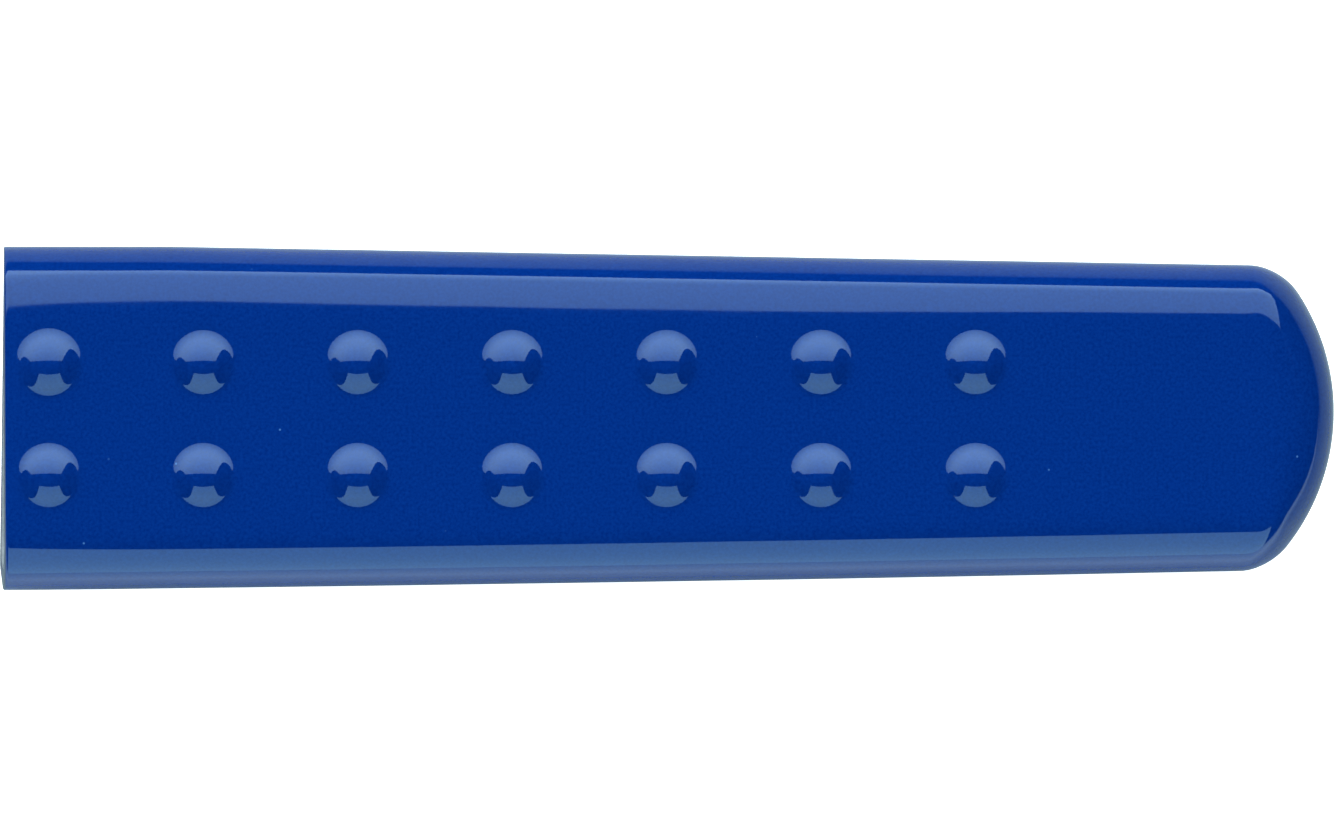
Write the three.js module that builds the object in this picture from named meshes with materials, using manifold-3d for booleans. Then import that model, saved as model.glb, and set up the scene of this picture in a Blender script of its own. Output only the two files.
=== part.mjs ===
// Flat tapered hand-grip sleeve, dip-moulded from soft vinyl in one piece.
//
// The sleeve pushes over the end of a flat bar handle. Its mouth is trimmed off square and open,
// its far end is closed and rounded, and two rows of round bumps on the front face give grip.
// The bumps were formed over studs on the dipping mandrel, so each has a dimple inside.
//
// Millimetres. +X runs from the open mouth to the closed tip, +Y across the width, and +Z out of
// the bumped front face. The origin is the centre of the footprint, on the flat back face.

import * as THREE from 'three';
import { mergeVertices } from 'three/addons/utils/BufferGeometryUtils.js';
import Module from 'manifold-3d';

// --- Driving dimensions ------------------------------------------------------------------------

const LENGTH = 114.3;            // mouth rim to tip
const MOUTH_WIDTH = 29.4;
const SHOULDER_WIDTH = 26.0;     // where the tapered sides meet the rounded corners of the tip
const SHOULDER_X = 107;          // distance of that place from the mouth
const PARALLEL_RUN = 12;         // the sides are parallel for this far from the mouth
const THICKNESS = 10;            // back face to front face, without the bumps
const WALL = 1.8;
const EDGE_RADIUS = 4.6;         // rounding of the long edges and of the tip, outside
const TIP_RADIUS = 17.7;         // end arc in plan
const CORNER_RADIUS = 4.9;       // plan radius between the sides and the end arc

const BUMP_COLUMNS = 7;
const BUMP_PITCH = 13.26;
const FIRST_BUMP_X = 3.9;        // distance of the first pair of bumps from the mouth
const BUMP_ROW_SPACING = 9.68;
const BUMP_RADIUS = 2.9;         // where the dome meets the front face
const BUMP_HEIGHT = 1.3;
const DIMPLE_RADIUS = 1.7;       // hollow inside each bump, where it meets the pocket's ceiling
const DIMPLE_DEPTH = 0.9;

const ARC_STEPS = 3;             // half the number of chords in each arc of the outline
const OUTER_BEVEL_STEPS = 5;
const POCKET_BEVEL_STEPS = 4;
const DOME_SIDES = 18;
const DOME_RINGS = 4;
const TRIM_OVERRUN = 8;          // the blank runs past the mouth by this much before it is cut

const VINYL_COLOUR = '#00308a';

// --- Solids ------------------------------------------------------------------------------------

const wasm = await Module();
wasm.setup();

function toSolid(geometry) {
  const bare = geometry.clone();
  bare.deleteAttribute('normal');
  bare.deleteAttribute('uv');
  const merged = mergeVertices(bare, 1e-4);
  return new wasm.Manifold(new wasm.Mesh({
    numProp: 3,
    vertProperties: new Float32Array(merged.attributes.position.array),
    triVerts: new Uint32Array(merged.index.array),
  }));
}

function toGeometry(solid) {
  const { vertProperties, triVerts } = solid.getMesh();
  const geometry = new THREE.BufferGeometry();
  geometry.setAttribute('position', new THREE.BufferAttribute(vertProperties, 3));
  geometry.setIndex(new THREE.BufferAttribute(triVerts, 1));
  geometry.computeVertexNormals();
  return geometry;
}

// --- Outline -----------------------------------------------------------------------------------

// The plan outline moved inwards by EDGE_RADIUS. Rounding it outwards again by EDGE_RADIUS gives
// the outside of the sleeve, and by EDGE_RADIUS - WALL the pocket, so the wall is even all round.
function coreOutline() {
  const mouthY = MOUTH_WIDTH / 2 - EDGE_RADIUS;
  const shoulderY = SHOULDER_WIDTH / 2 - EDGE_RADIUS;
  const cornerRadius = CORNER_RADIUS - EDGE_RADIUS;
  const tipRadius = TIP_RADIUS - EDGE_RADIUS;
  const tipCentreX = LENGTH - TIP_RADIUS;

  // Each corner arc touches the side, and touches the end arc from inside.
  const taper = Math.atan2(mouthY - shoulderY, SHOULDER_X - PARALLEL_RUN);
  const cornerY = shoulderY - cornerRadius / Math.cos(taper);
  const cornerX = tipCentreX + Math.sqrt((tipRadius - cornerRadius) ** 2 - cornerY ** 2);
  const endAngle = Math.atan2(cornerY, cornerX - tipCentreX);
  const sideAngle = Math.PI / 2 - taper;

  const outline = new THREE.Shape();
  outline.moveTo(-TRIM_OVERRUN, -mouthY);
  outline.lineTo(PARALLEL_RUN, -mouthY);
  outline.absarc(cornerX, -cornerY, cornerRadius, -sideAngle, -endAngle, false);
  outline.absarc(tipCentreX, 0, tipRadius, -endAngle, endAngle, false);
  outline.absarc(cornerX, cornerY, cornerRadius, endAngle, sideAngle, false);
  outline.lineTo(PARALLEL_RUN, mouthY);
  outline.lineTo(-TRIM_OVERRUN, mouthY);
  outline.closePath();
  return outline;
}

// A slab with the core outline and fully rounded edges, centred in the sleeve's thickness.
function roundedSlab(edgeRadius, bevelSegments) {
  const depth = THICKNESS - 2 * EDGE_RADIUS;
  const slab = new THREE.ExtrudeGeometry(coreOutline(), {
    steps: 1,
    depth,
    curveSegments: ARC_STEPS,
    bevelEnabled: true,
    bevelThickness: edgeRadius,
    bevelSize: edgeRadius,
    bevelSegments,
  });
  slab.translate(0, 0, EDGE_RADIUS);
  return toSolid(slab);
}

// --- Bumps and dimples -------------------------------------------------------------------------

// A spherical cap of the given base radius and height, on a short plug that sinks into the wall
// below it so that the two join cleanly.
function dome(baseRadius, height, plug) {
  const sphereRadius = (baseRadius ** 2 + height ** 2) / (2 * height);
  const rimAngle = Math.asin(baseRadius / sphereRadius);
  const profile = [new THREE.Vector2(0, -plug), new THREE.Vector2(baseRadius, -plug)];
  for (let ring = 0; ring < DOME_RINGS; ring++) {
    const angle = rimAngle * (1 - ring / DOME_RINGS);
    const rise = sphereRadius * Math.cos(angle) - (sphereRadius - height);
    profile.push(new THREE.Vector2(sphereRadius * Math.sin(angle), rise));
  }
  profile.push(new THREE.Vector2(0, height));
  const cap = new THREE.LatheGeometry(profile, DOME_SIDES);
  cap.rotateX(Math.PI / 2);
  return cap;
}

function bumpCentres() {
  const centres = [];
  for (let column = 0; column < BUMP_COLUMNS; column++) {
    for (const side of [-1, 1]) {
      centres.push([FIRST_BUMP_X + column * BUMP_PITCH, side * BUMP_ROW_SPACING / 2]);
    }
  }
  return centres;
}

function domesAt(z, baseRadius, height, plug) {
  const caps = bumpCentres().map(([x, y]) => (
    toSolid(dome(baseRadius, height, plug).translate(x, y, z))
  ));
  return caps.reduce((all, cap) => all.add(cap));
}

// --- Sleeve ------------------------------------------------------------------------------------

function gripSleeve() {
  const pocketRadius = EDGE_RADIUS - WALL;
  const plug = WALL / 2;
  const bumps = domesAt(THICKNESS, BUMP_RADIUS, BUMP_HEIGHT, plug);
  const dimples = domesAt(THICKNESS - WALL, DIMPLE_RADIUS, DIMPLE_DEPTH, plug);
  const trimmed = new THREE.BoxGeometry(2 * TRIM_OVERRUN, 2 * MOUTH_WIDTH, 4 * THICKNESS);
  trimmed.translate(-TRIM_OVERRUN, 0, THICKNESS / 2);

  const solid = roundedSlab(EDGE_RADIUS, OUTER_BEVEL_STEPS)
    .add(bumps)
    .subtract(roundedSlab(pocketRadius, POCKET_BEVEL_STEPS))
    .subtract(dimples)
    .subtract(toSolid(trimmed));

  const vinyl = new THREE.MeshStandardMaterial({
    color: VINYL_COLOUR,
    roughness: 0.12,
    metalness: 0,
  });
  const sleeve = new THREE.Mesh(toGeometry(solid), vinyl);
  sleeve.name = 'grip_sleeve';
  sleeve.position.x = -LENGTH / 2;
  return sleeve;
}

const grip = new THREE.Group();
grip.add(gripSleeve());

export default grip;
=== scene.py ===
"""A soft vinyl hand-grip sleeve, dip-moulded in one piece, on a pale studio floor.

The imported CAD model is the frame. This script replaces its plain sleeve with one finely modelled
skin: the same tapered, hollow shape, with the studs, soft edges and hand-trimmed mouth of a real
dipped sleeve. Shapes are worked out in millimetres, with x counted from the mouth, and are turned
into metres in the frame when a mesh is made.
"""

import math

import bpy
from mathutils import Matrix, Vector, noise


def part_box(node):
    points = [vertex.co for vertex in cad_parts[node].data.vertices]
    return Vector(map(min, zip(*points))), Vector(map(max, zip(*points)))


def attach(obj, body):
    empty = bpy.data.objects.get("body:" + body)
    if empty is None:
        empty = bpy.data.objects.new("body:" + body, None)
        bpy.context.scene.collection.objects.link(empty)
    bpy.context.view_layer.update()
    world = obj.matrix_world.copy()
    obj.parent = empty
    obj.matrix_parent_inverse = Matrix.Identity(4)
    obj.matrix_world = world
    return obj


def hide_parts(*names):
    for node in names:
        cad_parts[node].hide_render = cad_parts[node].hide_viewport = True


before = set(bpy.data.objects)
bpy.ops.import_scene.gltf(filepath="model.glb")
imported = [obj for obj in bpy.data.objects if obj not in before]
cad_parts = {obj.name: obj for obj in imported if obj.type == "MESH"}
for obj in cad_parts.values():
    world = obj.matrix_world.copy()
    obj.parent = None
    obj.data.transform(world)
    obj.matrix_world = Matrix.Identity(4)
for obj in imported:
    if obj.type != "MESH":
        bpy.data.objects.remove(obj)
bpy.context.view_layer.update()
sleeve_low, sleeve_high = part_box("grip_sleeve")

MM = 0.001

# --- The sleeve, in millimetres ------------------------------------------------------------------
# Upper is the +Y side and lower the -Y side, as they lie in the picture. Front is up, with the studs.

MOUTH_GAIN = 0.07         # the mouth spreads past the CAD width by this much on each side
LOWER_GAIN = 0.03         # and by this much more on the -Y side
LENGTH = (sleeve_high.x - sleeve_low.x) / MM
UPPER_HALF_WIDTH = (sleeve_high.y - sleeve_low.y) / MM / 2 + MOUTH_GAIN
LOWER_HALF_WIDTH = UPPER_HALF_WIDTH + LOWER_GAIN
HALF_THICK = 5.0          # back face to front face is twice this
WALL = 1.8

# The +Y side runs parallel and then tapers. The -Y side tapers all the way, a little more each mm.
UPPER_STRAIGHT = 14.0
UPPER_TAPER = 0.0171
LOWER_TAPER = 0.0105
LOWER_BOW = 0.0000476

# The closed end: an end arc in plan, that runs into each side through a blended corner.
END_RADIUS = 18.6
END_SHIFT = 0.55          # the end arc's centre sits this far towards +Y
END_REACH = 6.5           # on the middle line, front and back start to close in this far from the arc
UPPER_CORNER_REACH = 2.85 # and this far from it by the +Y corner
LOWER_CORNER_REACH = 2.3  # and by the -Y corner
CORNER_RUN = (2.3, 11.0)  # the reach changes between these distances across the sleeve
UPPER_BLEND = 2.3         # rounding of the corners
LOWER_BLEND = 2.0
SIDE_TO_END = 2.5         # the side's edge profile fades over this, each way from the ridge
NOSE_LENGTH = 10.0        # the mesh is finer this far from the tip

# The +Y edge is fuller than the -Y one, because the vinyl ran to it as it set: a steep side, a tight
# crease and a slow crown. Angles are the surface's tilt from level.
SIDE_DEPTH = 5.2
CREASE_OUTER_TILT = math.radians(35.5)
CREASE_INNER_TILT = math.radians(11)
CREASE_RADIUS = 1.0
CROWN_RADIUS = 22.6
CROWN_TIGHTENING = 5.4    # the crown's radius is this much less by the closed end
TIGHTENING_RUN = (60.0, 108.0)
UPRIGHT_RUN = 0.02        # the side is upright, within this much, for the height that is left

# The trimmed mouth. Edges spread where the cut has relaxed them. The cut is placed by how far it is
# from x = 0 on the middle line, and how much more for each mm towards +Y.
MOUTH_SPREAD = 0.17
MOUTH_SPREAD_LENGTH = 6.0
MOUTH_ROLL = 0.5          # the trimmed edge rolls over within this distance
MOUTH_DROP = 0.22
FRONT_CUT = (0.135, -0.0045)
BACK_CUT = (-0.23, 0.0137)
BACK_CORNER_CUT = 0.20    # the back's -Y corner is cut this much further in
BACK_CORNER_RUN = (12.5, 14.7)
ARRIS = 0.08              # softening of the cut's two edges
LIP = 0.5                 # how far in from the cut the inside is pale grey

# Grip studs.
STUD_COLUMNS = 7
STUD_PITCH = 13.26
FIRST_STUD_X = 3.9
STUD_ROWS = (-5.0, 4.69)
STUD_RADIUS = 2.95
STUD_CAP_RADIUS = 2.63    # of the dome's middle
STUD_FLANK = math.radians(35.8)
STUD_TURN = 6             # how quickly the dome turns into the flank
STUD_FILLET_START = 2.0
DIMPLE_RADIUS = 1.9
DIMPLE_DEPTH = 0.95
STUD_CELL = 3.3           # half the side of the square of mesh that holds one stud
FIRST_STUD_GROWTH = 1.05  # the +Y stud beside the mouth came out a little larger

# Slow ripples in the skin.
RIPPLE_HEIGHT = 0.009
RIPPLE_SIZE = 8.0


# --- Plan outline --------------------------------------------------------------------------------

def smooth(value, start, end):
    t = min(max((value - start) / (end - start), 0.0), 1.0)
    return t * t * (3 - 2 * t)


def upper_side(x):
    return UPPER_HALF_WIDTH - UPPER_TAPER * max(0.0, x - UPPER_STRAIGHT)


def lower_side(x):
    return LOWER_HALF_WIDTH - LOWER_TAPER * x - LOWER_BOW * x * x


def depth(x, y):
    """How far in from the outline a plan point is, and the share of its edge that is a side's.
    Over the closed end the distance is stretched, to be HALF_THICK where the closing-in starts."""
    side = upper_side(x) - y if y > 0 else lower_side(x) + y
    if x < LENGTH - 2 * NOSE_LENGTH:
        return side, 1.0
    across = y - END_SHIFT
    from_arc = END_RADIUS - math.hypot(x - (LENGTH - END_RADIUS), across)
    corner_reach = UPPER_CORNER_REACH if across > 0 else LOWER_CORNER_REACH
    reach = END_REACH + (corner_reach - END_REACH) * smooth(abs(across), *CORNER_RUN)
    end = from_arc + (HALF_THICK - reach) * (max(from_arc, 0) / reach) ** 2
    blend = UPPER_BLEND if y > 0 else LOWER_BLEND
    overlap = max(blend - abs(side - end), 0) / blend
    return min(side, end) - overlap ** 2 * blend / 4, smooth(end - side, -SIDE_TO_END, SIDE_TO_END)


def tip_x(wall):
    """Where the outline, moved in by wall, has its tip."""
    inner = LENGTH - NOSE_LENGTH
    outer = LENGTH
    for _ in range(40):
        middle = (inner + outer) / 2
        if depth(middle, END_SHIFT)[0] > wall:
            inner = middle
        else:
            outer = middle
    return outer


def outline_y(x, direction, wall):
    """Where the outline, moved in by wall, crosses x on the +Y or the -Y side."""
    inner = END_SHIFT
    outer = direction * (LOWER_HALF_WIDTH + 1)
    for _ in range(40):
        middle = (inner + outer) / 2
        if depth(x, middle)[0] > wall:
            inner = middle
        else:
            outer = middle
    return inner


# --- Edge profiles -------------------------------------------------------------------------------
# Each gives the height above the middle plane at a distance in from the silhouette.

def round_edge(inset, radius):
    inset = min(max(inset, 0.0), radius)
    return math.sqrt(radius ** 2 - (radius - inset) ** 2)


def crease_arc():
    """Where the +Y edge's side ends and its crease starts, and the centre of the crease's arc."""
    turn = math.atan(HALF_THICK / SIDE_DEPTH / math.tan(CREASE_OUTER_TILT))
    start = SIDE_DEPTH * (1 - math.cos(turn))
    centre_x = start + CREASE_RADIUS * math.sin(CREASE_OUTER_TILT)
    centre_z = HALF_THICK * math.sin(turn) - CREASE_RADIUS * math.cos(CREASE_OUTER_TILT)
    return start, (centre_x, centre_z)


CREASE_FROM, CREASE_CENTRE = crease_arc()
CROWN_FROM = CREASE_CENTRE[0] - CREASE_RADIUS * math.sin(CREASE_INNER_TILT)
CROWN_FROM_Z = CREASE_CENTRE[1] + CREASE_RADIUS * math.cos(CREASE_INNER_TILT)


def shoulder_edge(inset, crown_radius):
    """The +Y front edge: side, crease and crown, each an arc that runs into the next."""
    inset = max(inset, 0.0)
    top_x = CROWN_FROM + crown_radius * math.sin(CREASE_INNER_TILT)
    crown_z = CROWN_FROM_Z - crown_radius * math.cos(CREASE_INNER_TILT)
    if inset < CREASE_FROM:
        height = HALF_THICK * math.sqrt(max(1 - (1 - inset / SIDE_DEPTH) ** 2, 0))
    elif inset < CROWN_FROM:
        height = CREASE_CENTRE[1] + math.sqrt(CREASE_RADIUS ** 2 - (CREASE_CENTRE[0] - inset) ** 2)
    else:
        height = crown_z + math.sqrt(crown_radius ** 2 - max(top_x - inset, 0) ** 2)
    left_over = HALF_THICK - (crown_z + crown_radius)
    return height + left_over * min(inset / UPRIGHT_RUN, 1)


# --- Studs ---------------------------------------------------------------------------------------

PROFILE_STEPS = 200


def stud_slope(r):
    """Tilt of a stud's flank: a dome, then a straight flank, then a quick fillet into the face."""
    if r <= 0:
        return 0.0
    tilt = STUD_FLANK / (1 + (STUD_FLANK * STUD_CAP_RADIUS / r) ** STUD_TURN) ** (1 / STUD_TURN)
    if r > STUD_FILLET_START:
        t = min((r - STUD_FILLET_START) / (STUD_RADIUS - STUD_FILLET_START), 1.0)
        tilt *= 1 - t * t
    return tilt


def stud_profile():
    """Height of a stud at even steps from its centre to its foot."""
    step = STUD_RADIUS / PROFILE_STEPS
    heights = [0.0]
    for i in reversed(range(PROFILE_STEPS)):
        heights.append(heights[-1] + step * math.tan(stud_slope((i + 0.5) * step)))
    return heights[::-1]


STUD_HEIGHTS = stud_profile()


def stud_height(fraction):
    """Height of a stud at a fraction of its radius."""
    if fraction >= 1:
        return 0.0
    place = fraction * PROFILE_STEPS
    i = int(place)
    return STUD_HEIGHTS[i] + (STUD_HEIGHTS[i + 1] - STUD_HEIGHTS[i]) * (place - i)


def dimple_height(fraction):
    """The same for the hollow inside a stud."""
    return stud_height(fraction) * DIMPLE_DEPTH / STUD_HEIGHTS[0]


# --- One skin, outside or inside -----------------------------------------------------------------

class Skin:
    """The outside or the inside surface of the sleeve, as heights over the plan. stud_rise gives a
    stud's height at a fraction of its radius."""

    def __init__(self, wall, stud_radius, stud_rise):
        self.wall = wall
        self.half = HALF_THICK - wall
        self.nose = NOSE_LENGTH - wall
        self.tip = tip_x(wall)
        self.stud_radius = stud_radius
        self.stud_rise = stud_rise

    def upper(self, x):
        return outline_y(x, 1, self.wall)

    def lower(self, x):
        return outline_y(x, -1, self.wall)

    def front(self, x, y):
        inset, from_side = depth(x, y)
        inset = (inset - self.wall) / (1 + MOUTH_SPREAD * math.exp(-x / MOUTH_SPREAD_LENGTH))
        rise = round_edge(inset, self.half)
        if self.wall == 0 and y > 0:
            crown = CROWN_RADIUS - CROWN_TIGHTENING * smooth(x, *TIGHTENING_RUN)
            rise += (shoulder_edge(inset, crown) - rise) * from_side
        return HALF_THICK + rise - self.roll(x)

    def back(self, x, y):
        return HALF_THICK - round_edge(depth(x, y)[0] - self.wall, self.half)

    def roll(self, x):
        """The outside's front edge rolls over where it was trimmed."""
        if self.wall or x > MOUTH_ROLL:
            return 0.0
        t = 1 - x / MOUTH_ROLL
        return MOUTH_DROP * (1 - math.sqrt(max(1 - t * t, 0)))


# --- The grid that a skin is meshed on -----------------------------------------------------------

CELL_STEPS = 12           # mesh steps along each side of a stud's square
GAP_STEPS = 9             # between two studs' squares, along x
MIDDLE_STEPS = 4          # between the two rows' squares
CROWN_STEPS = 5           # between the +Y row's squares and the +Y edge
MOUTH_STEPS = 7
BODY_STEP = 1.0
NOSE_STEPS = 36
EDGE_TURNS = 16           # mesh steps round the front's -Y edge
SIDE_ROWS = 10            # and on the +Y edge, over its side, crease and crown
CREASE_ROWS = 7
CROWN_ROWS = 6
BACK_TURNS = 10           # round each of the back's edges
BACK_STEPS = 12
STUD_RINGS = 18
STUD_SKIRT = (1.05, 1.02) # rings just outside a stud's foot, in stud radii
EDGE_REACH = 5.2          # the edge's mesh rows end this far in


def spaced(start, end, steps):
    """Values from start up to but without end."""
    return [start + (end - start) * i / steps for i in range(steps)]


def stations(skin):
    """The x of every ring of the mesh, and the index where each column of studs starts."""
    first = FIRST_STUD_X - STUD_CELL
    xs = [first * (i / MOUTH_STEPS) ** 2 for i in range(MOUTH_STEPS)]
    starts = []
    for column in range(STUD_COLUMNS):
        centre = FIRST_STUD_X + column * STUD_PITCH
        starts.append(len(xs))
        xs += spaced(centre - STUD_CELL, centre + STUD_CELL, CELL_STEPS)
        if column < STUD_COLUMNS - 1:
            xs += spaced(centre + STUD_CELL, centre + STUD_PITCH - STUD_CELL, GAP_STEPS)
    body_from = FIRST_STUD_X + (STUD_COLUMNS - 1) * STUD_PITCH + STUD_CELL
    body_to = skin.tip - skin.nose
    xs += spaced(body_from, body_to, round((body_to - body_from) / BODY_STEP))
    for i in range(NOSE_STEPS):
        xs.append(body_to + skin.nose * math.sin(math.pi / 2 * i / NOSE_STEPS))
    return xs, starts


def round_insets(turns):
    """Insets at even turns round a rounded edge, from the silhouette inwards."""
    return [HALF_THICK * (1 - math.cos(math.pi / 2 * i / turns)) for i in range(turns)]


def shoulder_insets():
    """The same for the +Y edge, with close rows over the crease."""
    turn = math.acos(1 - CREASE_FROM / SIDE_DEPTH)
    side = [SIDE_DEPTH * (1 - math.cos(i / SIDE_ROWS * turn)) for i in range(SIDE_ROWS)]
    crease = spaced(CREASE_FROM, CROWN_FROM, CREASE_ROWS)
    crown = spaced(CROWN_FROM, HALF_THICK, CROWN_ROWS)
    return side + crease + crown


def crowding(low, high):
    """How much the edge rows close up, where the outline rounds the end."""
    return min(1.0, (high - low) / (2 * EDGE_REACH + 2 * STUD_CELL))


def front_rows(skin, x):
    """The y of every mesh row over the front, from the -Y silhouette to the +Y one."""
    low = skin.lower(x)
    high = skin.upper(x)
    scale = crowding(low, high)
    rest_low = STUD_ROWS[0] - STUD_CELL
    rest_high = STUD_ROWS[1] + STUD_CELL
    inner_low = max(rest_low, low + EDGE_REACH * scale)
    inner_high = min(rest_high, high - EDGE_REACH * scale)
    fixed = spaced(rest_low, STUD_ROWS[0] + STUD_CELL, CELL_STEPS)
    fixed += spaced(STUD_ROWS[0] + STUD_CELL, STUD_ROWS[1] - STUD_CELL, MIDDLE_STEPS)
    fixed += spaced(STUD_ROWS[1] - STUD_CELL, rest_high, CELL_STEPS) + [rest_high]
    stretch = (inner_high - inner_low) / (rest_high - rest_low)
    rows = [low + inset * scale for inset in round_insets(EDGE_TURNS)]
    rows += [inner_low + (y - rest_low) * stretch for y in fixed]
    rows += spaced(inner_high, high - HALF_THICK * scale, CROWN_STEPS)[1:]
    rows += [high - inset * scale for inset in reversed(shoulder_insets())]
    return rows


def back_rows(skin, x):
    """The y of every mesh row over the back, from +Y to -Y, without the silhouettes."""
    low = skin.lower(x)
    high = skin.upper(x)
    scale = crowding(low, high)
    turns = round_insets(BACK_TURNS)[1:]
    rows = [high - inset * scale for inset in turns]
    rows += spaced(high - HALF_THICK * scale, low + HALF_THICK * scale, BACK_STEPS)
    rows.append(low + HALF_THICK * scale)
    rows += [low + inset * scale for inset in reversed(turns)]
    return rows


def mouth_cut(y, z):
    """How far from x = 0 the hand-trimmed mouth is: the blade leaned and turned a little."""
    front = FRONT_CUT[0] + FRONT_CUT[1] * y
    back = BACK_CUT[0] + BACK_CUT[1] * y + BACK_CORNER_CUT * smooth(-y, *BACK_CORNER_RUN)
    t = smooth(z, 0, 2 * HALF_THICK)
    return back + (front - back) * t


FIRST_CELL_ROW = len(round_insets(EDGE_TURNS))
CELL_ROWS = (FIRST_CELL_ROW, FIRST_CELL_ROW + CELL_STEPS + MIDDLE_STEPS)


def skin_rings(skin, xs, verts):
    """Adds a ring of vertices round the sleeve at each x, and returns the rings' indices."""
    rings = []
    for x in xs:
        points = [(y, skin.front(x, y)) for y in front_rows(skin, x)]
        points += [(y, skin.back(x, y)) for y in back_rows(skin, x)]
        lean = 1 - smooth(x, 0, FIRST_STUD_X - STUD_CELL)
        rings.append(range(len(verts), len(verts) + len(points)))
        verts += [(x + mouth_cut(y, z) * lean, y, z) for y, z in points]
    return rings


def skin_faces(rings, column_starts, tip):
    """Faces between the rings and to the tip, except in the squares that hold studs."""
    count = len(rings[0])
    in_cell = {(i + di, j + dj) for i in column_starts for j in CELL_ROWS
               for di in range(CELL_STEPS) for dj in range(CELL_STEPS)}
    faces = []
    for i in range(len(rings) - 1):
        for j in range(count):
            if (i, j) not in in_cell:
                k = (j + 1) % count
                faces.append((rings[i][j], rings[i + 1][j], rings[i + 1][k], rings[i][k]))
    for j in range(count):
        faces.append((rings[-1][j], tip, rings[-1][(j + 1) % count]))
    return faces


def skin_mesh(skin):
    """Vertices in mm, faces, and the mouth's ring, of one skin with its studs meshed as discs."""
    xs, column_starts = stations(skin)
    verts = []
    rings = skin_rings(skin, xs, verts)
    tip = len(verts)
    verts.append((skin.tip, END_SHIFT, HALF_THICK))
    faces = skin_faces(rings, column_starts, tip)

    for column, i in enumerate(column_starts):
        for row, j in enumerate(CELL_ROWS):
            centre = (FIRST_STUD_X + column * STUD_PITCH, STUD_ROWS[row])
            growth = FIRST_STUD_GROWTH if (column, row) == (0, 1) else 1.0
            add_stud(skin, verts, faces, rings, i, j, centre, growth)

    used = sorted({v for face in faces for v in face})
    place = {v: n for n, v in enumerate(used)}
    faces = [tuple(place[v] for v in face) for face in faces]
    return [verts[v] for v in used], faces, [place[v] for v in rings[0]]


def add_stud(skin, verts, faces, rings, i, j, centre, growth):
    """Fills one square of the grid with rings round a stud's centre, and raises them."""
    last = CELL_STEPS
    square = [rings[i + n][j] for n in range(last)]
    square += [rings[i + last][j + n] for n in range(last)]
    square += [rings[i + last - n][j + last] for n in range(last)]
    square += [rings[i][j + last - n] for n in range(last)]
    angles = [math.atan2(verts[v][1] - centre[1], verts[v][0] - centre[0]) for v in square]
    rings_in = [math.sin(math.pi / 2 * k / STUD_RINGS) for k in range(STUD_RINGS, 0, -1)]
    outer = square
    for fraction in [*STUD_SKIRT, *rings_in]:
        r = fraction * skin.stud_radius * growth
        ring = []
        for angle in angles:
            x = centre[0] + r * math.cos(angle)
            y = centre[1] + r * math.sin(angle)
            ring.append(len(verts))
            verts.append((x, y, skin.front(x, y) + growth * skin.stud_rise(fraction)))
        for n in range(len(ring)):
            m = (n + 1) % len(ring)
            faces.append((outer[n], outer[m], ring[m], ring[n]))
        outer = ring
    middle = len(verts)
    verts.append((centre[0], centre[1], skin.front(*centre) + growth * skin.stud_rise(0)))
    for n in range(len(outer)):
        faces.append((outer[n], outer[(n + 1) % len(outer)], middle))


def ripple(point):
    """Slow unevenness of the dipped skin, in mm, at a point in mm."""
    return RIPPLE_HEIGHT * noise.noise(Vector(point) / RIPPLE_SIZE)


# --- The whole piece -----------------------------------------------------------------------------

GLOSS, SATIN, CUT, PALE_LIP = range(4)   # the order of the piece's materials


def trimmed_rim(verts, faces, outer_mouth, inner_mouth):
    """The cut between the two skins at the mouth, with an arris along each edge."""
    loops = [outer_mouth]
    for share in (ARRIS / WALL, 1 - ARRIS / WALL):
        loop = []
        for a, b in zip(outer_mouth, inner_mouth):
            p = Vector(verts[a]).lerp(Vector(verts[b]), share)
            loop.append(len(verts))
            verts.append((p.x - ARRIS, p.y, p.z))
        loops.append(loop)
    loops.append(inner_mouth)
    for outer, inner in zip(loops, loops[1:]):
        for n in range(len(outer)):
            m = (n + 1) % len(outer)
            faces.append((outer[n], outer[m], inner[m], inner[n]))


def add_ripples(mesh, origin):
    """Moves each vertex along its normal. All the moves are made at once, as the normals change."""
    moved = []
    for vertex in mesh.vertices:
        moved.extend(vertex.co + vertex.normal * (MM * ripple((vertex.co - origin) / MM)))
    mesh.vertices.foreach_set("co", moved)
    mesh.update()


def sleeve_piece():
    verts, faces, outer_mouth = skin_mesh(Skin(0.0, STUD_RADIUS, stud_height))
    inner_verts, inner_faces, inner_mouth = skin_mesh(Skin(WALL, DIMPLE_RADIUS, dimple_height))
    offset = len(verts)
    verts += inner_verts
    inner_from = len(faces)
    faces += [tuple(v + offset for v in reversed(face)) for face in inner_faces]
    rim_from = len(faces)
    trimmed_rim(verts, faces, outer_mouth, [v + offset for v in inner_mouth])

    mesh = bpy.data.meshes.new("vinyl_sleeve")
    origin = Vector((sleeve_low.x, 0, sleeve_low.z))
    mesh.from_pydata([origin + MM * Vector(v) for v in verts], [], faces)
    mesh.update()
    add_ripples(mesh, origin)
    for material in (vinyl(), inside_vinyl(), cut_vinyl(), pale_lip()):
        mesh.materials.append(material)
    for index, polygon in enumerate(mesh.polygons):
        polygon.use_smooth = True
        if index >= rim_from:
            polygon.material_index = CUT
        elif index < inner_from:
            polygon.material_index = GLOSS
        elif polygon.center.x < sleeve_low.x + LIP * MM:
            polygon.material_index = PALE_LIP
        else:
            polygon.material_index = SATIN
    piece = bpy.data.objects.new("vinyl_sleeve", mesh)
    bpy.context.scene.collection.objects.link(piece)
    return piece


# --- Materials -----------------------------------------------------------------------------------

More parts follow.
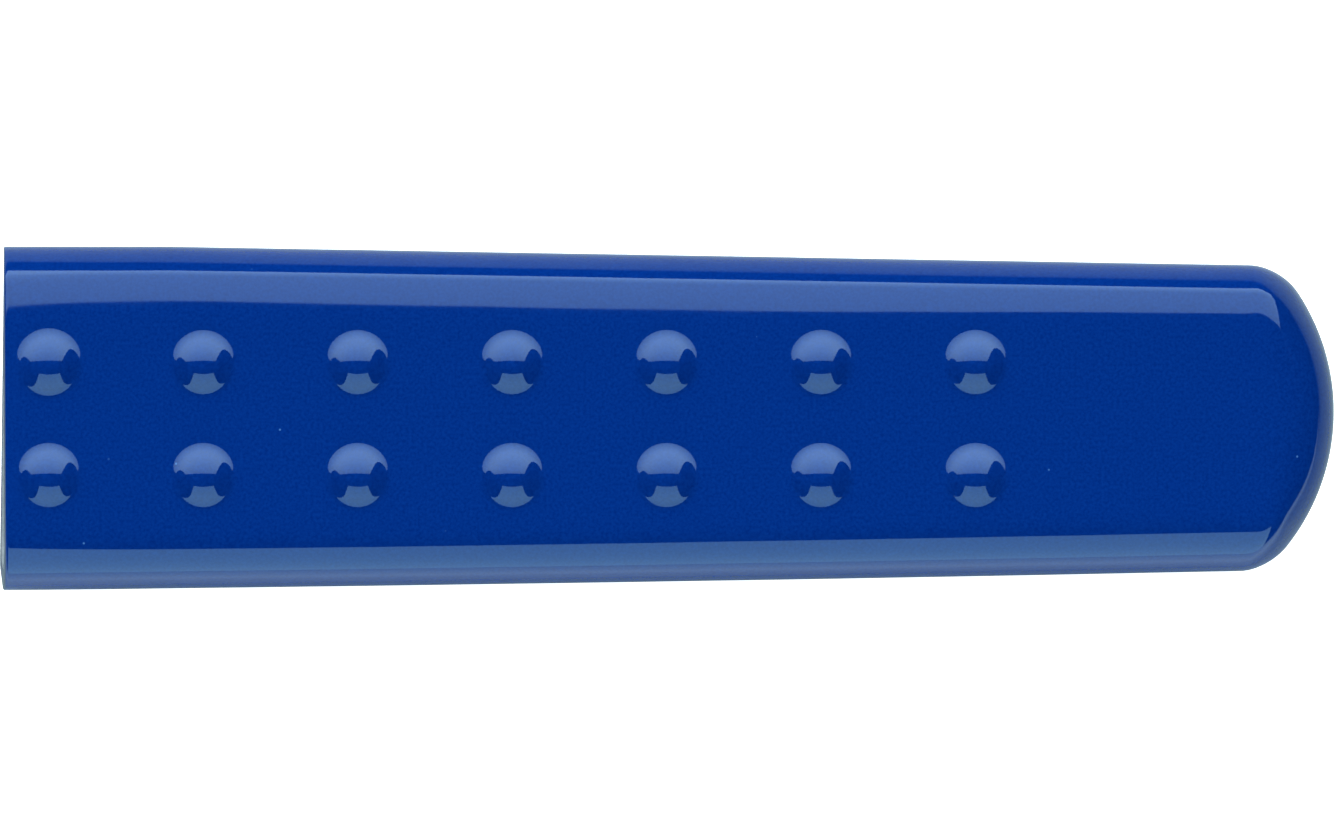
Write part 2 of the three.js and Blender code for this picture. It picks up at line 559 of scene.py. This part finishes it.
BLUE = (0.0010, 0.0232, 0.170, 1)
BLUE_DEEP = (0.0000, 0.0148, 0.128, 1)
SPECK = (0.04, 0.12, 0.34, 1)
CUT_DARK = (0.05, 0.07, 0.12, 1)
CUT_PALE = (0.09, 0.11, 0.16, 1)
# The inside just past the mouth is pale grey; these two greys mix there.
LIP_GREY_DARK = (0.20, 0.23, 0.26, 1)
LIP_GREY_LIGHT = (0.42, 0.45, 0.47, 1)
GLOSS_ROUGHNESS = (0.04, 0.06)
SATIN_ROUGHNESS = (0.34, 0.46)
CUT_ROUGHNESS = (0.45, 0.6)
LIP_ROUGHNESS = (0.5, 0.7)
VINYL_IOR = 1.5
GLOSS_TINT = (0.53, 0.78, 1.0, 1)

# Sizes of the textures, as scales of the noise and cell nodes.
SPECK_CELLS = 240
SPECK_EDGE = (0.014, 0.030)   # a speck fades out between these fractions of a cell
SPECKS_CHOSEN = (0.25, 0.9)   # and fades with the cell's own random number, between these
MOTTLE_GRAIN = 3800
GLOSS_PATCHES = 160
SKIN_WAVES = 420
INSIDE_MOTTLE = 300
INSIDE_PATCHES = 500
INSIDE_GRAIN = 1500
BLADE_DRAG = 6000
LIP_GRAIN = 2500


def new_material(name):
    material = bpy.data.materials.new(name)
    material.use_nodes = True
    return material, material.node_tree, material.node_tree.nodes["Principled BSDF"]


def noise_node(tree, coords, scale, detail=3.0):
    node = tree.nodes.new("ShaderNodeTexNoise")
    node.inputs["Scale"].default_value = scale
    node.inputs["Detail"].default_value = detail
    tree.links.new(coords, node.inputs["Vector"])
    return node.outputs["Fac"]


def ranged(tree, value, low, high, from_low=0.3, from_high=0.7):
    """The value run from low to high. The default is the spread of a noise node's output."""
    node = tree.nodes.new("ShaderNodeMapRange")
    node.inputs["From Min"].default_value = from_low
    node.inputs["From Max"].default_value = from_high
    node.inputs["To Min"].default_value = low
    node.inputs["To Max"].default_value = high
    tree.links.new(value, node.inputs["Value"])
    return node.outputs["Result"]


def mixed(tree, factor, a, b):
    node = tree.nodes.new("ShaderNodeMix")
    node.data_type = "RGBA"
    tree.links.new(factor, node.inputs[0])
    for socket, value in ((node.inputs[6], a), (node.inputs[7], b)):
        if isinstance(value, tuple):
            socket.default_value = value
        else:
            tree.links.new(value, socket)
    return node.outputs[2]


def bumped(tree, height, distance, strength):
    node = tree.nodes.new("ShaderNodeBump")
    node.inputs["Distance"].default_value = distance
    node.inputs["Strength"].default_value = strength
    tree.links.new(height, node.inputs["Height"])
    return node.outputs["Normal"]


def specks(tree, coords):
    """A few tiny pale grains: 1 on them and 0 elsewhere."""
    cells = tree.nodes.new("ShaderNodeTexVoronoi")
    cells.inputs["Scale"].default_value = SPECK_CELLS
    tree.links.new(coords, cells.inputs["Vector"])
    near = ranged(tree, cells.outputs["Distance"], 1, 0, *SPECK_EDGE)
    chosen = tree.nodes.new("ShaderNodeSeparateColor")
    tree.links.new(cells.outputs["Color"], chosen.inputs["Color"])
    some = ranged(tree, chosen.outputs["Red"], 0, 1, *SPECKS_CHOSEN)
    both = tree.nodes.new("ShaderNodeMath")
    both.operation = "MULTIPLY"
    tree.links.new(near, both.inputs[0])
    tree.links.new(some, both.inputs[1])
    return both.outputs[0]


def vinyl():
    """The glossy outside: even deep blue, faintly mottled, with the odd grain under the gloss."""
    material, tree, shader = new_material("blue_vinyl_gloss")
    coords = tree.nodes.new("ShaderNodeTexCoord").outputs["Object"]
    mottle = ranged(tree, noise_node(tree, coords, MOTTLE_GRAIN), 0, 1)
    colour = mixed(tree, mottle, BLUE, BLUE_DEEP)
    tree.links.new(mixed(tree, specks(tree, coords), colour, SPECK), shader.inputs["Base Color"])
    patches = noise_node(tree, coords, GLOSS_PATCHES)
    tree.links.new(ranged(tree, patches, *GLOSS_ROUGHNESS), shader.inputs["Roughness"])
    waves = noise_node(tree, coords, SKIN_WAVES, 2)
    tree.links.new(bumped(tree, waves, 0.00001, 0.05), shader.inputs["Normal"])
    shader.inputs["IOR"].default_value = VINYL_IOR
    shader.inputs["Specular Tint"].default_value = GLOSS_TINT
    return material


def inside_vinyl():
    """The inside took the mandrel's satin finish."""
    material, tree, shader = new_material("blue_vinyl_inside")
    coords = tree.nodes.new("ShaderNodeTexCoord").outputs["Object"]
    mottle = ranged(tree, noise_node(tree, coords, INSIDE_MOTTLE), 0, 1)
    tree.links.new(mixed(tree, mottle, BLUE, BLUE_DEEP), shader.inputs["Base Color"])
    patches = noise_node(tree, coords, INSIDE_PATCHES)
    tree.links.new(ranged(tree, patches, *SATIN_ROUGHNESS), shader.inputs["Roughness"])
    grain = noise_node(tree, coords, INSIDE_GRAIN)
    tree.links.new(bumped(tree, grain, 0.00002, 0.2), shader.inputs["Normal"])
    shader.inputs["IOR"].default_value = VINYL_IOR
    return material


def cut_vinyl():
    """The trimmed rim: matt, a shade paler, with the blade's fine drag lines."""
    material, tree, shader = new_material("blue_vinyl_cut")
    coords = tree.nodes.new("ShaderNodeTexCoord").outputs["Object"]
    stretch = tree.nodes.new("ShaderNodeMapping")
    stretch.inputs["Scale"].default_value = (1, 0.15, 1)
    tree.links.new(coords, stretch.inputs["Vector"])
    drag = noise_node(tree, stretch.outputs["Vector"], BLADE_DRAG, 2)
    colour = mixed(tree, drag, CUT_DARK, CUT_PALE)
    tree.links.new(colour, shader.inputs["Base Color"])
    tree.links.new(ranged(tree, drag, *CUT_ROUGHNESS), shader.inputs["Roughness"])
    tree.links.new(bumped(tree, drag, 0.00003, 0.35), shader.inputs["Normal"])
    shader.inputs["IOR"].default_value = VINYL_IOR
    return material


def pale_lip():
    """Just inside the mouth: the satin skin, made pale grey, grainy and matt."""
    material, tree, shader = new_material("blue_vinyl_pale_lip")
    coords = tree.nodes.new("ShaderNodeTexCoord").outputs["Object"]
    lip_noise = noise_node(tree, coords, LIP_GRAIN, 2)
    colour = mixed(tree, lip_noise, LIP_GREY_DARK, LIP_GREY_LIGHT)
    tree.links.new(colour, shader.inputs["Base Color"])
    tree.links.new(ranged(tree, lip_noise, *LIP_ROUGHNESS), shader.inputs["Roughness"])
    tree.links.new(bumped(tree, lip_noise, 0.00003, 0.3), shader.inputs["Normal"])
    return material


# --- Studio, in metres ---------------------------------------------------------------------------

CAMERA_DISTANCE = 3.0
VIEW_WIDTH = 0.1148            # across the picture, at the sleeve's middle height
CAMERA_PLACE = (-0.00013, -0.000155)
SENSOR_WIDTH = 36

UPPER_BOX_SIZE = 1.3           # each softbox's edges are given in multiples of its size
UPPER_BOX_NEAR = (0.19, 0.98)
UPPER_BOX_FAR = (0.99, 0.30)
UPPER_BOX_ENDS = (-1.80, 0.97)
UPPER_BOX_GLOW = (42.0, 90.0)  # at the near and the far edge
UPPER_BOX_COLOUR = (0.82, 0.96, 1.0)
LOWER_BOX_SIZE = 1.1
LOWER_BOX_NEAR = (-0.80, 1.0)
LOWER_BOX_FAR = (-1.75, 0.005)
LOWER_BOX_ENDS = (-0.85, 0.86)
LOWER_BOX_GLOW = (24.0, 31.0)
LOWER_BOX_COLOUR = (0.70, 1.0, 1.0)

FLOOR_HEIGHT = -0.00005
FLOOR_HALF_SIZE = 8.0
BENCH_HEIGHT = -0.00010
# The bench's colour is painted light: lit grey near its brightest place, fading to painted shade away
# from it, and a painted glow towards -Y.
BENCH_BRIGHTEST = (-0.10, -0.14, 0)
BENCH_FADE = (0.22, 0.40)      # it fades over these distances from its brightest place
BENCH_PAINTED_LIT = (0.48, 0.53, 0.50, 1)
BENCH_PAINTED_SHADE = (0.04, 0.05, 0.06, 1)
BENCH_GLOW = 1.5               # towards -Y, under the lower softbox
BENCH_GLOW_RUN = (-0.036, -0.020)
BENCH_GLOW_COLOUR = (0.85, 1.0, 1.0, 1)
ROOM_DARK = (0.006, 0.008, 0.012, 1)
WHITE = (1, 1, 1, 1)
FLOOR_BASE = (0.9, 0.9, 0.9, 1)


def camera():
    """Straight above, on a long lens, with +Y up the picture."""
    data = bpy.data.cameras.new("camera")
    data.sensor_width = SENSOR_WIDTH
    data.lens = SENSOR_WIDTH * CAMERA_DISTANCE / VIEW_WIDTH
    data.clip_end = 50
    cam = bpy.data.objects.new("camera", data)
    cam.location = (*CAMERA_PLACE, HALF_THICK * MM + CAMERA_DISTANCE)
    bpy.context.scene.collection.objects.link(cam)
    bpy.context.scene.camera = cam


def softbox(name, size, near, far, ends, glow, colour):
    """A long panel parallel to X. near and far are the (y, z) of its two long edges and ends its x
    range, in multiples of size. Its glow is given at the near and the far edge."""
    near_y, near_z = (size * value for value in near)
    far_y, far_z = (size * value for value in far)
    start_x, end_x = (size * value for value in ends)
    light = bpy.data.lights.new(name, "AREA")
    light.shape = "RECTANGLE"
    light.size = end_x - start_x
    light.size_y = math.dist((near_y, near_z), (far_y, far_z))
    light.color = colour
    light.energy = 1.0
    light.use_nodes = True
    tree = light.node_tree
    place = tree.nodes.new("ShaderNodeNewGeometry")
    split = tree.nodes.new("ShaderNodeSeparateXYZ")
    tree.links.new(place.outputs["Parametric"], split.inputs["Vector"])
    strength = ranged(tree, split.outputs["Y"], glow[1], glow[0], 0, 1)
    tree.links.new(strength, tree.nodes["Emission"].inputs["Strength"])
    panel = bpy.data.objects.new(name, light)
    panel.visible_camera = False
    middle = Vector(((start_x + end_x) / 2, (near_y + far_y) / 2, (near_z + far_z) / 2))
    across = Vector((0, near_y - far_y, near_z - far_z)).normalized()
    along = Vector((1 if near_y < 0 else -1, 0, 0))   # so that the panel faces the sleeve
    panel.matrix_world = matrix_of(along, across, along.cross(across), middle)
    bpy.context.scene.collection.objects.link(panel)


def matrix_of(x_axis, y_axis, z_axis, place):
    rows = [(x_axis[i], y_axis[i], z_axis[i], place[i]) for i in range(3)]
    return Matrix(rows + [(0, 0, 0, 1)])


def flat_sheet(name, height):
    size = FLOOR_HALF_SIZE
    mesh = bpy.data.meshes.new(name)
    corners = [(-size, -size), (size, -size), (size, size), (-size, size)]
    mesh.from_pydata([(x, y, height) for x, y in corners], [], [(0, 1, 2, 3)])
    sheet = bpy.data.objects.new(name, mesh)
    bpy.context.scene.collection.objects.link(sheet)
    return sheet


def floor():
    """The plain white floor of the picture. Only the camera sees it, so no shadow falls on it."""
    sheet = flat_sheet("studio_floor", FLOOR_HEIGHT)
    material, _, shader = new_material("studio_floor")
    shader.inputs["Base Color"].default_value = FLOOR_BASE
    shader.inputs["Emission Color"].default_value = WHITE
    shader.inputs["Emission Strength"].default_value = 1.0
    sheet.data.materials.append(material)
    sheet.visible_diffuse = False
    sheet.visible_glossy = False
    sheet.visible_shadow = False


def bench():
    """What the sleeve's edges mirror from below: a painted pool of light on grey, fading to painted
    shade away from its brightest place, and a painted glow towards -Y."""
    sheet = flat_sheet("studio_bench", BENCH_HEIGHT)
    material, tree, shader = new_material("studio_bench")
    coords = tree.nodes.new("ShaderNodeTexCoord").outputs["Object"]
    away = tree.nodes.new("ShaderNodeVectorMath")
    away.operation = "DISTANCE"
    away.inputs[1].default_value = BENCH_BRIGHTEST
    tree.links.new(coords, away.inputs[0])
    # painted pool of light, fading to painted shade away from its brightest place
    dimmed = ranged(tree, away.outputs["Value"], 0, 1, *BENCH_FADE)
    tree.links.new(mixed(tree, dimmed, BENCH_PAINTED_LIT, BENCH_PAINTED_SHADE), shader.inputs["Base Color"])
    split = tree.nodes.new("ShaderNodeSeparateXYZ")
    tree.links.new(coords, split.inputs["Vector"])
    # painted glow towards -Y, though the bench is no lamp
    glow = ranged(tree, split.outputs["Y"], BENCH_GLOW, 0, *BENCH_GLOW_RUN)
    tree.links.new(glow, shader.inputs["Emission Strength"])
    shader.inputs["Emission Color"].default_value = BENCH_GLOW_COLOUR
    shader.inputs["Roughness"].default_value = 0.9
    shader.inputs["Specular IOR Level"].default_value = 0.1
    sheet.data.materials.append(material)


def surroundings():
    """A dark room above the horizon, and pale below it."""
    world = bpy.data.worlds.new("studio")
    world.use_nodes = True
    tree = world.node_tree
    split = tree.nodes.new("ShaderNodeSeparateXYZ")
    tree.links.new(tree.nodes.new("ShaderNodeTexCoord").outputs["Generated"], split.inputs["Vector"])
    above = ranged(tree, split.outputs["Z"], 0, 1, -0.01, 0.0)
    colour = mixed(tree, above, WHITE, ROOM_DARK)
    tree.links.new(colour, tree.nodes["Background"].inputs["Color"])
    bpy.context.scene.world = world


def studio():
    """The lights' places and glow give the bands that run along the sleeve's edges and studs."""
    floor()
    bench()
    surroundings()
    softbox("softbox_upper", UPPER_BOX_SIZE, UPPER_BOX_NEAR, UPPER_BOX_FAR, UPPER_BOX_ENDS,
            UPPER_BOX_GLOW, UPPER_BOX_COLOUR)
    softbox("softbox_lower", LOWER_BOX_SIZE, LOWER_BOX_NEAR, LOWER_BOX_FAR, LOWER_BOX_ENDS,
            LOWER_BOX_GLOW, LOWER_BOX_COLOUR)
    bpy.context.scene.view_settings.view_transform = "Standard"


# --- Build ---------------------------------------------------------------------------------------

camera()
studio()
sleeve = sleeve_piece()
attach(sleeve, "root")
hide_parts("grip_sleeve")
